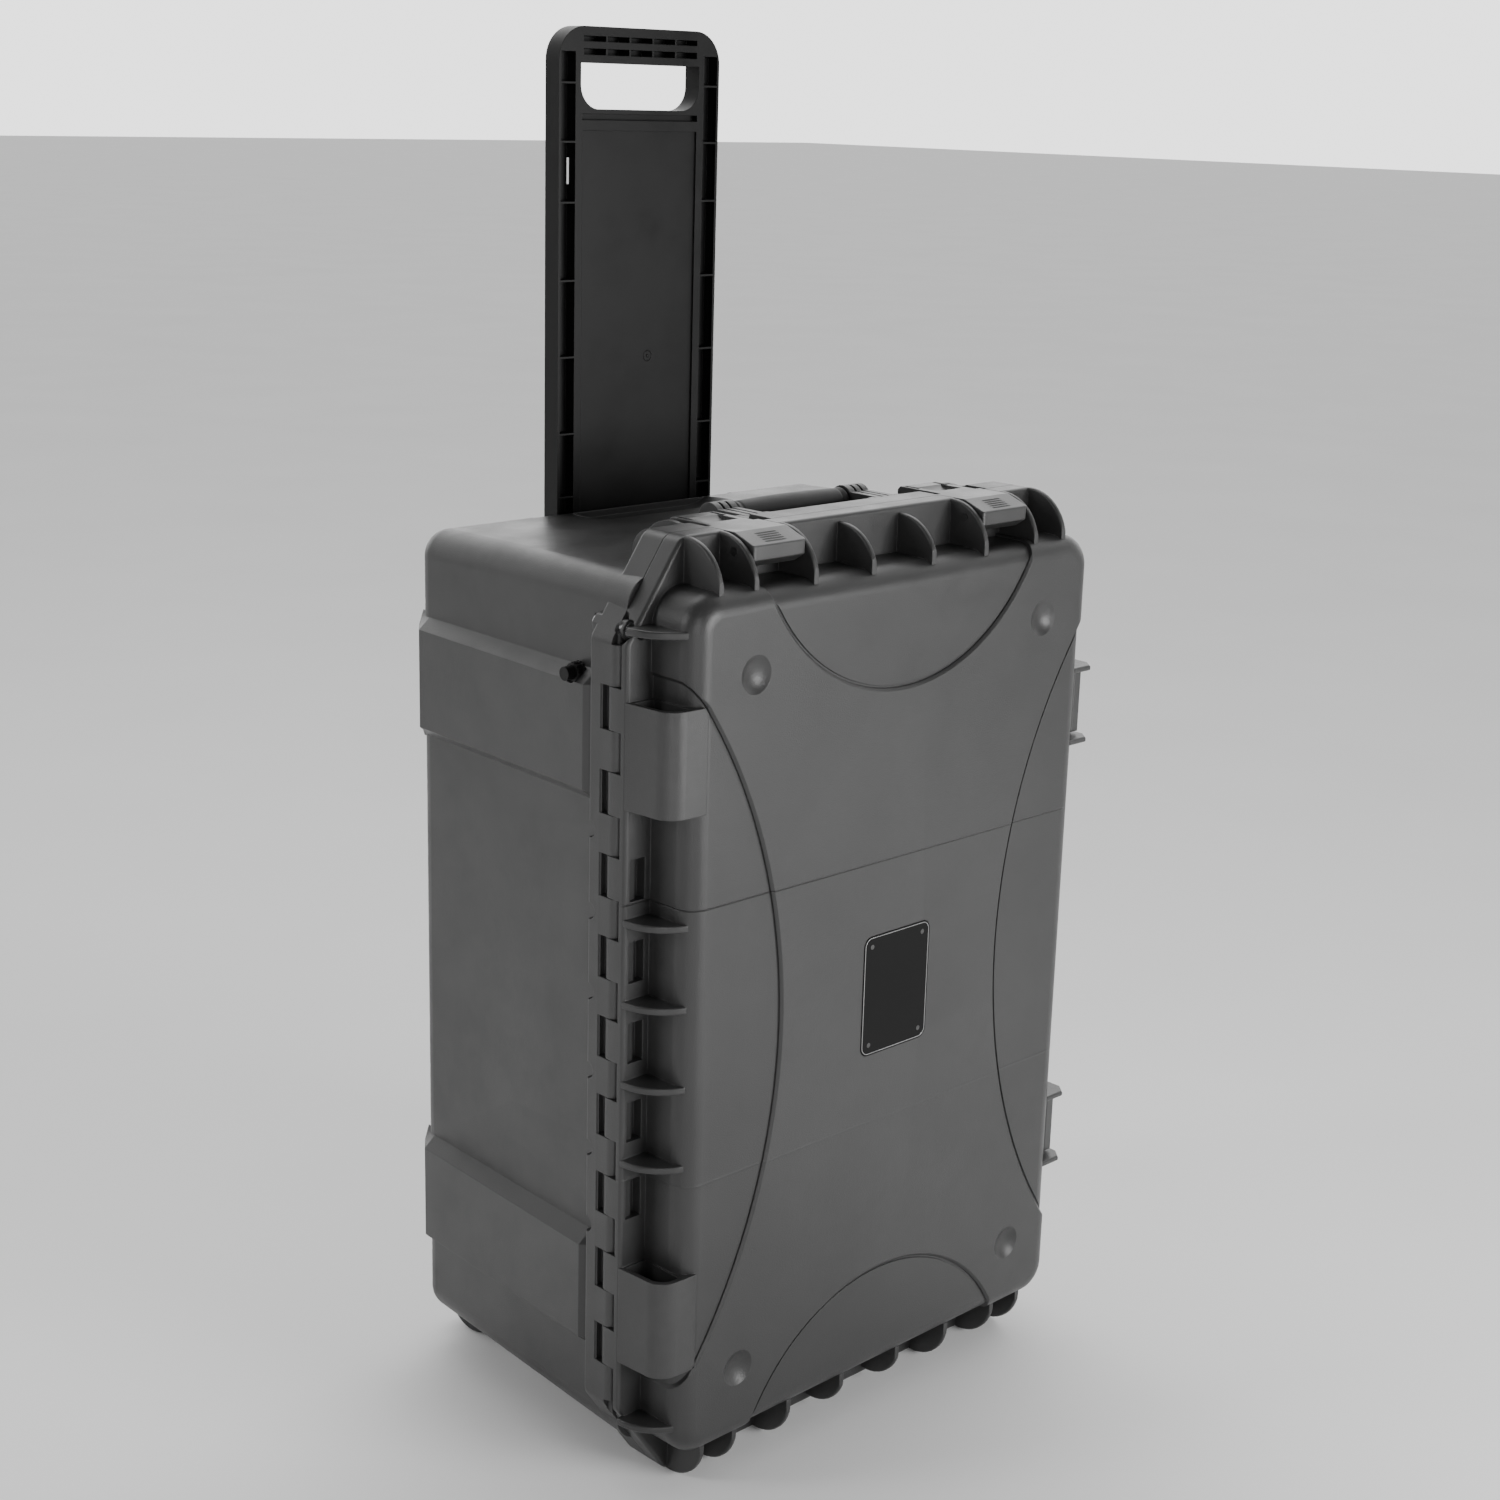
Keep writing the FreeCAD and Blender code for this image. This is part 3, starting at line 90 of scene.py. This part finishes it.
def map_range(tree, source, out, lo, hi, to_lo, to_hi):
    node = tree.nodes.new("ShaderNodeMapRange")
    node.inputs["From Min"].default_value = lo
    node.inputs["From Max"].default_value = hi
    node.inputs["To Min"].default_value = to_lo
    node.inputs["To Max"].default_value = to_hi
    link(tree, source, out, node, "Value")
    return node


def grey(v):
    return (v, v, v, 1.0)


def plastic(name, value, rough, grain, grain_height, spread=0.12, edge_highlight=0.35, bevel=0.0, seam=False,
            gloss=0.5):
    # Moulded plastic: a fine grain, cloudy tone and a painted highlight that makes convex edges paler in
    # patches.
    mat, tree, shader = new_material(name)
    cloud = noise(tree, 9.0, 4.0, 0.6)
    tone = ramp(tree, cloud, "Fac", 0.35, 0.68, grey(value * (1 - spread)), grey(value * (1 + spread)))
    # Painted highlight: convex edges, found from the mesh's own pointiness, are painted paler and broken
    # into patches by noise.
    geo = tree.nodes.new("ShaderNodeNewGeometry")
    edge_highlight_ramp = map_range(tree, geo, "Pointiness", 0.52, 0.60, 0.0, edge_highlight)
    highlight_patches = noise(tree, 160.0, 4.0, 0.7)
    edge_highlight_mask = tree.nodes.new("ShaderNodeMath")
    edge_highlight_mask.operation = "MULTIPLY"
    link(tree, edge_highlight_ramp, "Result", edge_highlight_mask, 0)
    link(tree, highlight_patches, "Fac", edge_highlight_mask, 1)
    mix = tree.nodes.new("ShaderNodeMix")
    mix.data_type = "RGBA"
    link(tree, edge_highlight_mask, "Value", mix, "Factor")
    tree.links.new(tone.outputs["Color"], mix.inputs["A"])
    # Colour of the painted edge highlight.
    mix.inputs["B"].default_value = grey(value * 1.9)
    tree.links.new(mix.outputs["Result"], shader.inputs["Base Color"])
    # Roughness wanders a little.
    patch = noise(tree, 34.0, 5.0, 0.6)
    r = map_range(tree, patch, "Fac", 0.3, 0.7, rough - 0.06, rough + 0.07)
    link(tree, r, "Result", shader, "Roughness")
    fine = noise(tree, grain, 2.0, 0.6)
    bump = tree.nodes.new("ShaderNodeBump")
    bump.inputs["Strength"].default_value = 0.35
    bump.inputs["Distance"].default_value = grain_height
    link(tree, fine, "Fac", bump, "Height")
    first = add_seams(tree, bump) if seam else bump
    if bevel:
        soft = tree.nodes.new("ShaderNodeBevel")
        soft.samples = 4
        soft.inputs["Radius"].default_value = bevel
        link(tree, soft, "Normal", first, "Normal")
    link(tree, bump, "Normal", shader, "Normal")
    shader.inputs["Specular IOR Level"].default_value = gloss
    return mat


def add_seams(tree, bump):
    # Witness line of the mould, sunk into the surface, and a fainter raised line lower down.
    tex = tree.nodes.new("ShaderNodeTexCoord")
    split = tree.nodes.new("ShaderNodeSeparateXYZ")
    link(tree, tex, "Object", split, "Vector")
    line = level_mask(tree, split, SEAM_Z, SEAM_HALF)
    faint = level_mask(tree, split, FAINT_Z, FAINT_HALF)
    both = tree.nodes.new("ShaderNodeMath")
    both.operation = "MULTIPLY_ADD"
    link(tree, faint, "Result", both, 0)
    both.inputs[1].default_value = -0.25
    link(tree, line, "Result", both, 2)
    dent = tree.nodes.new("ShaderNodeBump")
    dent.invert = True
    dent.inputs["Strength"].default_value = 0.6
    dent.inputs["Distance"].default_value = SEAM_DEPTH
    link(tree, both, "Value", dent, "Height")
    link(tree, dent, "Normal", bump, "Normal")
    return dent


def level_mask(tree, split, centre, half):
    # 1 at the height centre, 0 further away than half.
    off = tree.nodes.new("ShaderNodeMath")
    off.operation = "SUBTRACT"
    link(tree, split, "Z", off, 0)
    off.inputs[1].default_value = centre
    size = tree.nodes.new("ShaderNodeMath")
    size.operation = "ABSOLUTE"
    link(tree, off, "Value", size, 0)
    return map_range(tree, size, "Value", 0.0, half, 1.0, 0.0)


def metal(name, colour, rough, streak):
    mat, tree, shader = new_material(name)
    lines = noise(tree, 60.0, 3.0, 0.6, stretch=streak)
    dark = tuple(c * 0.8 for c in colour)
    tone = ramp(tree, lines, "Fac", 0.3, 0.7, dark + (1.0,), colour + (1.0,))
    link(tree, tone, "Color", shader, "Base Color")
    r = map_range(tree, lines, "Fac", 0.3, 0.7, rough - 0.08, rough + 0.1)
    link(tree, r, "Result", shader, "Roughness")
    bump = tree.nodes.new("ShaderNodeBump")
    bump.inputs["Strength"].default_value = 0.2
    bump.inputs["Distance"].default_value = 0.0001
    link(tree, lines, "Fac", bump, "Height")
    link(tree, bump, "Normal", shader, "Normal")
    shader.inputs["Metallic"].default_value = 1.0
    return mat


# The edge values set how strongly convex edges are painted paler as a highlight.
LID = plastic("lid_plastic", 0.026, 0.38, 1500.0, 0.00042, edge_highlight=0.7, bevel=0.0008, seam=True, gloss=0.55)
CASE = plastic("base_plastic", 0.028, 0.39, 1500.0, 0.00042, edge_highlight=0.7, bevel=0.0008, gloss=0.6)
LATCH = plastic("latch_plastic", 0.028, 0.36, 1400.0, 0.00018, edge_highlight=0.7, bevel=0.0010, gloss=0.7)
PULL = plastic("pull_plastic", 0.003, 0.40, 1500.0, 0.00006, spread=0.1, edge_highlight=0.5, bevel=0.0005, gloss=0.26)
TYRE = plastic("tyre_rubber", 0.018, 0.62, 900.0, 0.0002, bevel=0.0006)
HUB = plastic("hub_plastic", 0.05, 0.45, 1200.0, 0.0001, bevel=0.0006)
RUBBER = plastic("sleeve_rubber", 0.022, 0.55, 1100.0, 0.0002)
SEAL = plastic("seal_rubber", 0.02, 0.65, 900.0, 0.0001)
LABEL = plastic("label_gloss", 0.003, 0.16, 500.0, 0.00001, spread=0.2, edge_highlight=0.1, gloss=0.12)
STEEL = metal("satin_steel", (0.62, 0.62, 0.63), 0.32, (1.0, 1.0, 14.0))
TRIM = metal("label_metal", (0.36, 0.36, 0.36), 0.42, (14.0, 1.0, 1.0))
DARK_STEEL = metal("blackened_steel", (0.10, 0.10, 0.10), 0.40, (1.0, 1.0, 14.0))


def paint(name, mat):
    obj = nodes[name]
    obj.data.materials.clear()
    obj.data.materials.append(mat)


# The first prefix that fits a node's name gives its finish.  Pins, screws, axles and the bush are steel.
FINISHES = [
    ("lid_shell", LID), ("lid_seal", SEAL), ("base_shell", CASE),
    ("label_plate", LABEL), ("label_rivets", DARK_STEEL),
    ("latch_pin", DARK_STEEL), ("latch_", LATCH),
    ("top_handle_sleeve", RUBBER), ("top_handle_pin", STEEL), ("top_handle", CASE),
    ("side_handle_sleeve", RUBBER), ("side_handle_pin", STEEL), ("side_handle", CASE),
    ("pull_", PULL), ("valve", PULL),
    ("wheel_tyre", TYRE), ("wheel_hub", HUB),
    ("", STEEL),
]
for name in nodes:
    paint(name, next(mat for prefix, mat in FINISHES if name.startswith(prefix)))


# ---------------------------------------------------------------- detail pieces

# Places follow the CAD model, in millimetres.
ZC = 278.5              # middle of the lid
PLATE_FRONT = -131.9    # front of the label plate
LABEL_X0 = -25.9
LABEL_X1 = 29.8
LABEL_Z0 = ZC - 38.7
LABEL_Z1 = ZC + 35.5
PIN_Y = -109.4          # pins of the latches
NOSE_FRONT = 1.3
SLOPE_BACK = 5.0
NOSE_DROP = 0.6
GRIP_Y = -30.6          # middle of the carry grips
GRIP_HALF = 45.7
TOP_GRIP_Z = 548.9
SIDE_GRIP_X = 175.4
GRIP_END_SOFT = 0.8
VALVE = (-169.9, -46.2, ZC + 199.6)
VALVE_LENGTH = 11.0
WHEEL_Y = 106.6
WHEEL_Z = 25.0
HUB_FACE = 128.5        # bottom of the recess in a hub
SPOKES = 5
GATE = (9.4, 105.9, 624.2)
# Node, place across, outer height, radius of the pad, and whether it is on the side.
LATCHES = [("latch_top_left", -92.6, 557.0, 9.3, False), ("latch_top_right", 92.6, 557.0, 9.3, False),
           ("latch_side_upper", 421.5, 181.1, 7.6, True), ("latch_side_lower", 135.5, 181.1, 7.6, True)]


def finish_piece(name, bm, mat, body, matrix, bevel=0.0, segments=3):
    # Makes an object of the mesh, in millimetres, softens its edges and lets it ride on a body.
    mesh = bpy.data.meshes.new(name)
    bmesh.ops.scale(bm, vec=(MM, MM, MM), verts=bm.verts)
    bmesh.ops.recalc_face_normals(bm, faces=bm.faces)
    bm.to_mesh(mesh)
    bm.free()
    obj = bpy.data.objects.new(name, mesh)
    bpy.context.scene.collection.objects.link(obj)
    mesh.transform(matrix)
    mesh.materials.append(mat)
    for face in mesh.polygons:
        face.use_smooth = True
    if bevel:
        mod = obj.modifiers.new("soft", "BEVEL")
        mod.width = bevel * MM
        mod.segments = segments
        mod.limit_method = "ANGLE"
        mod.angle_limit = math.radians(35)
    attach(obj, body)
    return obj


def sweep_outline(bm, points, z0, z1):
    # Closed outline in the plane Z, made solid between z0 and z1.
    low = [bm.verts.new((x, y, z0)) for x, y in points]
    high = [bm.verts.new((x, y, z1)) for x, y in points]
    n = len(points)
    bm.faces.new(low[::-1])
    bm.faces.new(high)
    for i in range(n):
        k = (i + 1) % n
        bm.faces.new((low[i], low[k], high[k], high[i]))


def at(point):
    # Shift to a place given in millimetres.
    return Matrix.Translation(Vector(point) * MM)


def turned(degrees, axis):
    return Matrix.Rotation(math.radians(degrees), 4, axis)


def circle(r, count):
    steps = [2 * math.pi * i / count for i in range(count)]
    return [(r * math.cos(t), r * math.sin(t)) for t in steps]


def oval_ring(bm, a, b, width, height, count=48):
    # Raised ring with a rounded section.
    rows = []
    steps = 8
    for i in range(count):
        t = 2 * math.pi * i / count
        row = []
        for j in range(steps + 1):
            u = math.pi * j / steps
            k = -width / 2 * math.cos(u)
            row.append(bm.verts.new(((a + k) * math.cos(t), (b + k) * math.sin(t), height * math.sin(u))))
        rows.append(row)
    for i in range(count):
        k = (i + 1) % count
        for j in range(steps):
            bm.faces.new((rows[i][j], rows[k][j], rows[k][j + 1], rows[i][j + 1]))
        bm.faces.new((rows[i][steps], rows[k][steps], rows[k][0], rows[i][0]))


def ridge(bm, y, half, width, height):
    # Grip ridge with round ends and a domed section, along X.
    count = 12
    rows = []
    for i in range(count + 1):
        t = -1 + 2 * i / count
        k = math.sqrt(max(0.0, 1 - t ** 4))
        row = []
        for j in range(7):
            u = math.pi * j / 6
            across = y - width / 2 * k * math.cos(u)
            row.append(bm.verts.new((t * half, across, height * k * math.sin(u) - 0.1)))
        rows.append(row)
    for i in range(count):
        for j in range(6):
            bm.faces.new((rows[i][j], rows[i + 1][j], rows[i + 1][j + 1], rows[i][j + 1]))


def latch_grip(node, across, top, pad_r, side):
    # Row of straight grip ridges on the slope of a latch's nose.
    run = pad_r + NOSE_FRONT + SLOPE_BACK
    drop = NOSE_DROP * pad_r
    tilt = math.degrees(math.atan2(drop, run))
    mid_y = PIN_Y + SLOPE_BACK - run * 0.52
    mid_h = top - drop * 0.52
    bm = bmesh.new()
    for i in range(-2, 3):
        ridge(bm, 2.2 * i, 9.0, 1.0, 0.55)
    bmesh.ops.remove_doubles(bm, verts=bm.verts, dist=0.001)
    if side:
        place = at((mid_h, mid_y, across)) @ turned(90, "Y")
    else:
        place = at((across, mid_y, mid_h))
    finish_piece(node + "_grip", bm, LATCH, node + "_body", place @ turned(tilt, "X"))


def label_trim():
    # Pale rim round the gloss plate.
    hw = (LABEL_X1 - LABEL_X0) / 2 - 0.7
    hh = (LABEL_Z1 - LABEL_Z0) / 2 - 0.7
    middle = ((LABEL_X0 + LABEL_X1) / 2, PLATE_FRONT + 0.02, (LABEL_Z0 + LABEL_Z1) / 2)
    place = at(middle) @ turned(90, "X")
    bm = bmesh.new()
    rounded_frame(bm, hw, hh, 5.4, 0.55, 0.1)
    finish_piece("label_rim", bm, TRIM, "lid", place)


def rounded_rect(hw, hh, r):
    points = []
    for sx, sy, start in ((1, 1, 0), (-1, 1, 90), (-1, -1, 180), (1, -1, 270)):
        for i in range(9):
            t = math.radians(start + 90 * i / 8)
            points.append((sx * (hw - r) + r * math.cos(t), sy * (hh - r) + r * math.sin(t)))
    return points


def rounded_frame(bm, hw, hh, r, width, height):
    outer = rounded_rect(hw, hh, r)
    inner = rounded_rect(hw - width, hh - width, r - width)
    loops = []
    for points, z in ((outer, 0.0), (outer, height), (inner, height), (inner, 0.0)):
        loops.append([bm.verts.new((x, y, z)) for x, y in points])
    n = len(outer)
    for a in range(4):
        b = (a + 1) % 4
        for i in range(n):
            k = (i + 1) % n
            bm.faces.new((loops[a][i], loops[a][k], loops[b][k], loops[b][i]))


def gear_outline(r, depth, teeth, per=6):
    points = []
    for i in range(teeth * per):
        t = 2 * math.pi * i / (teeth * per)
        wave = 0.5 + 0.5 * math.cos(2 * math.pi * i / per)
        points.append(((r - depth * wave) * math.cos(t), (r - depth * wave) * math.sin(t)))
    return points


def valve_grip():
    # Two knurled collars and a steel ring on the valve.
    place = at(VALVE) @ turned(-90, "Y")
    for i, (r, a, b) in enumerate(((6.0, 0.0, 1.5), (5.7, 2.2, 5.4))):
        bm = bmesh.new()
        sweep_outline(bm, gear_outline(r, 0.5, 14), a, b)
        finish_piece("valve_collar_%d" % (i + 1), bm, PULL, "base", place, bevel=0.15, segments=2)
    bm = bmesh.new()
    oval_ring(bm, 3.3, 3.3, 0.9, 0.35, 32)
    tip = place @ at((0, 0, VALVE_LENGTH - 0.36))
    finish_piece("valve_ring", bm, STEEL, "base", tip)


def wheel_face(side):
    # Spokes inside the hub's recess.
    s = 1 if side == "right" else -1
    place = at((s * HUB_FACE, WHEEL_Y, WHEEL_Z)) @ turned(90 * s, "Y")
    bm = bmesh.new()
    for i in range(SPOKES):
        t = 2 * math.pi * i / SPOKES
        d = Vector((math.cos(t), math.sin(t)))
        n = Vector((-d.y, d.x))
        points = [d * 7.7 - n * 1.6, d * 14.3 - n * 1.1, d * 14.3 + n * 1.1, d * 7.7 + n * 1.6]
        sweep_outline(bm, [(q.x, q.y) for q in points], 0.2, 2.6)
    finish_piece("wheel_spokes_" + side, bm, HUB, "wheel_" + side + "_body", place, bevel=0.4)


def grip_radius(t, end_r, mid_r):
    # Radius along a grip, t from -1 to 1: full in the middle, waisted near the ends, with rounded lips.
    swell = end_r + (mid_r - end_r) * math.cos(0.5 * math.pi * t) ** 0.8
    lip = 0.55 * math.exp(-((abs(t) - 0.95) / 0.022) ** 2)
    groove = 0.45 * math.exp(-((abs(t) - 0.885) / 0.014) ** 2)
    return min(mid_r, swell + lip - groove)


def carry_grip(node, body, half, core_r, end_r, mid_r, matrix):
    # Soft grip round the bar, with a parting line on both sides, in place of the plain sleeve.
    around = 64
    along = 150
    bm = bmesh.new()
    rows = []
    for i in range(along + 1):
        t = -1 + 2 * i / along
        r = grip_radius(t, end_r, mid_r)
        inside = GRIP_END_SOFT - (1 - abs(t)) * half
        if inside > 0:
            r -= GRIP_END_SOFT - math.sqrt(max(0.0, GRIP_END_SOFT ** 2 - inside ** 2))
        row = []
        for j in range(around):
            a = 2 * math.pi * j / around
            seam = 0.22 * math.exp(-(math.sin(a) / 0.05) ** 2)
            row.append(bm.verts.new((t * half, (r - seam) * math.cos(a), (r - seam) * math.sin(a))))
        rows.append(row)
    for i in range(along):
        for j in range(around):
            k = (j + 1) % around
            bm.faces.new((rows[i][j], rows[i + 1][j], rows[i + 1][k], rows[i][k]))
    for row, x in ((rows[0], -half), (rows[-1], half)):
        inner = [bm.verts.new((x, y, z)) for y, z in circle(core_r, around)]
        for j in range(around):
            k = (j + 1) % around
            bm.faces.new((row[j], row[k], inner[k], inner[j]))
    grip = finish_piece(node.replace("sleeve", "grip"), bm, RUBBER, body, matrix)
    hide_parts(node)


def gate_mark():
    # Round injection mark on the pull handle's panel.
    place = at(GATE) @ turned(90, "X")
    bm = bmesh.new()
    oval_ring(bm, 3.2, 3.2, 0.8, 0.3, 32)
    sweep_outline(bm, circle(1.1, 24), -0.2, 0.5)
    finish_piece("pull_gate_mark", bm, PULL, "pull_handle_body", place, bevel=0.2)


for latch in LATCHES:
    latch_grip(*latch)
carry_grip("top_handle_sleeve", "top_handle_body", GRIP_HALF, 6.02, 7.5, 8.65, at((0, GRIP_Y, TOP_GRIP_Z)))
carry_grip("side_handle_sleeve", "side_handle_body", GRIP_HALF, 2.62, 4.5, 5.25,
           at((SIDE_GRIP_X, GRIP_Y, ZC)) @ turned(90, "Y"))
label_trim()
valve_grip()
for wheel in ("left", "right"):
    wheel_face(wheel)
gate_mark()


# ---------------------------------------------------------------- stage

CAMERA_PLACE = (-0.97131, -1.01021, 0.78160)
CAMERA_AZIMUTH = -44.02
CAMERA_ELEVATION = 15.45
CAMERA_ROLL = 1.55
CAMERA_LENS = 56.775
FLOOR_HALF = 30.0


def camera():
    azimuth = math.radians(CAMERA_AZIMUTH)
    elevation = math.radians(CAMERA_ELEVATION)
    roll = math.radians(CAMERA_ROLL)
    back = Vector((math.sin(azimuth) * math.cos(elevation),
                   -math.cos(azimuth) * math.cos(elevation), math.sin(elevation)))
    right = Vector((math.cos(azimuth), math.sin(azimuth), 0.0))
    up = back.cross(right)
    turned_right = right * math.cos(roll) + up * math.sin(roll)
    turned_up = back.cross(turned_right)
    data = bpy.data.cameras.new("camera")
    data.lens = CAMERA_LENS
    data.sensor_width = 36.0
    data.clip_end = 50.0
    obj = bpy.data.objects.new("camera", data)
    m = Matrix((turned_right, turned_up, back)).transposed().to_4x4()
    m.translation = CAMERA_PLACE
    obj.matrix_world = m
    bpy.context.scene.collection.objects.link(obj)
    bpy.context.scene.camera = obj


def area_light(name, place, target, size, power):
    data = bpy.data.lights.new(name, "AREA")
    data.shape = "RECTANGLE"
    data.size, data.size_y = size
    data.energy = power
    obj = bpy.data.objects.new(name, data)
    direction = Vector(target) - Vector(place)
    obj.matrix_world = (Matrix.Translation(Vector(place))
                        @ direction.to_track_quat("-Z", "Y").to_matrix().to_4x4())
    bpy.context.scene.collection.objects.link(obj)


def studio():
    mesh = bpy.data.meshes.new("floor")
    corners = [(x * FLOOR_HALF, y * FLOOR_HALF, 0) for x, y in ((-1, -1), (1, -1), (1, 1), (-1, 1))]
    mesh.from_pydata(corners, [], [(0, 1, 2, 3)])
    floor = bpy.data.objects.new("floor", mesh)
    bpy.context.scene.collection.objects.link(floor)
    mat, tree, shader = new_material("pale_floor")
    cloud = noise(tree, 3.0, 3.0, 0.5)
    tone = ramp(tree, cloud, "Fac", 0.3, 0.7, grey(0.90), grey(0.93))
    link(tree, tone, "Color", shader, "Base Color")
    shader.inputs["Roughness"].default_value = 0.9
    floor.data.materials.append(mat)
    backdrop()
    area_light("key", (0.45, -1.7, 0.62), (0.0, -0.1, 0.50), (0.8, 0.6), 25.0)
    area_light("front_left", (-1.9, -2.1, 1.0), (-0.1, 0.0, 0.50), (0.25, 1.2), 18.0)
    area_light("left", (-2.4, 1.1, 1.6), (0.0, 0.1, 0.60), (0.6, 1.0), 18.0)
    area_light("top", (0.2, 0.9, 2.4), (0.0, 0.1, 0.5), (1.6, 0.6), 8.0)


def backdrop():
    # White cyclorama behind the object that falls off to a dimmer room in front of it.
    world = bpy.data.worlds.new("world")
    world.use_nodes = True
    tree = world.node_tree
    tex = tree.nodes.new("ShaderNodeTexCoord")
    dot = tree.nodes.new("ShaderNodeVectorMath")
    dot.operation = "DOT_PRODUCT"
    dot.inputs[1].default_value = (0.695, 0.719, 0.0)
    link(tree, tex, "Generated", dot, 0)
    fade = map_range(tree, dot, "Value", 0.1, 0.7, 0.12, 2.4)
    tree.nodes["Background"].inputs["Color"].default_value = grey(1.0)
    link(tree, fade, "Result", tree.nodes["Background"], "Strength")
    bpy.context.scene.world = world


camera()
studio()
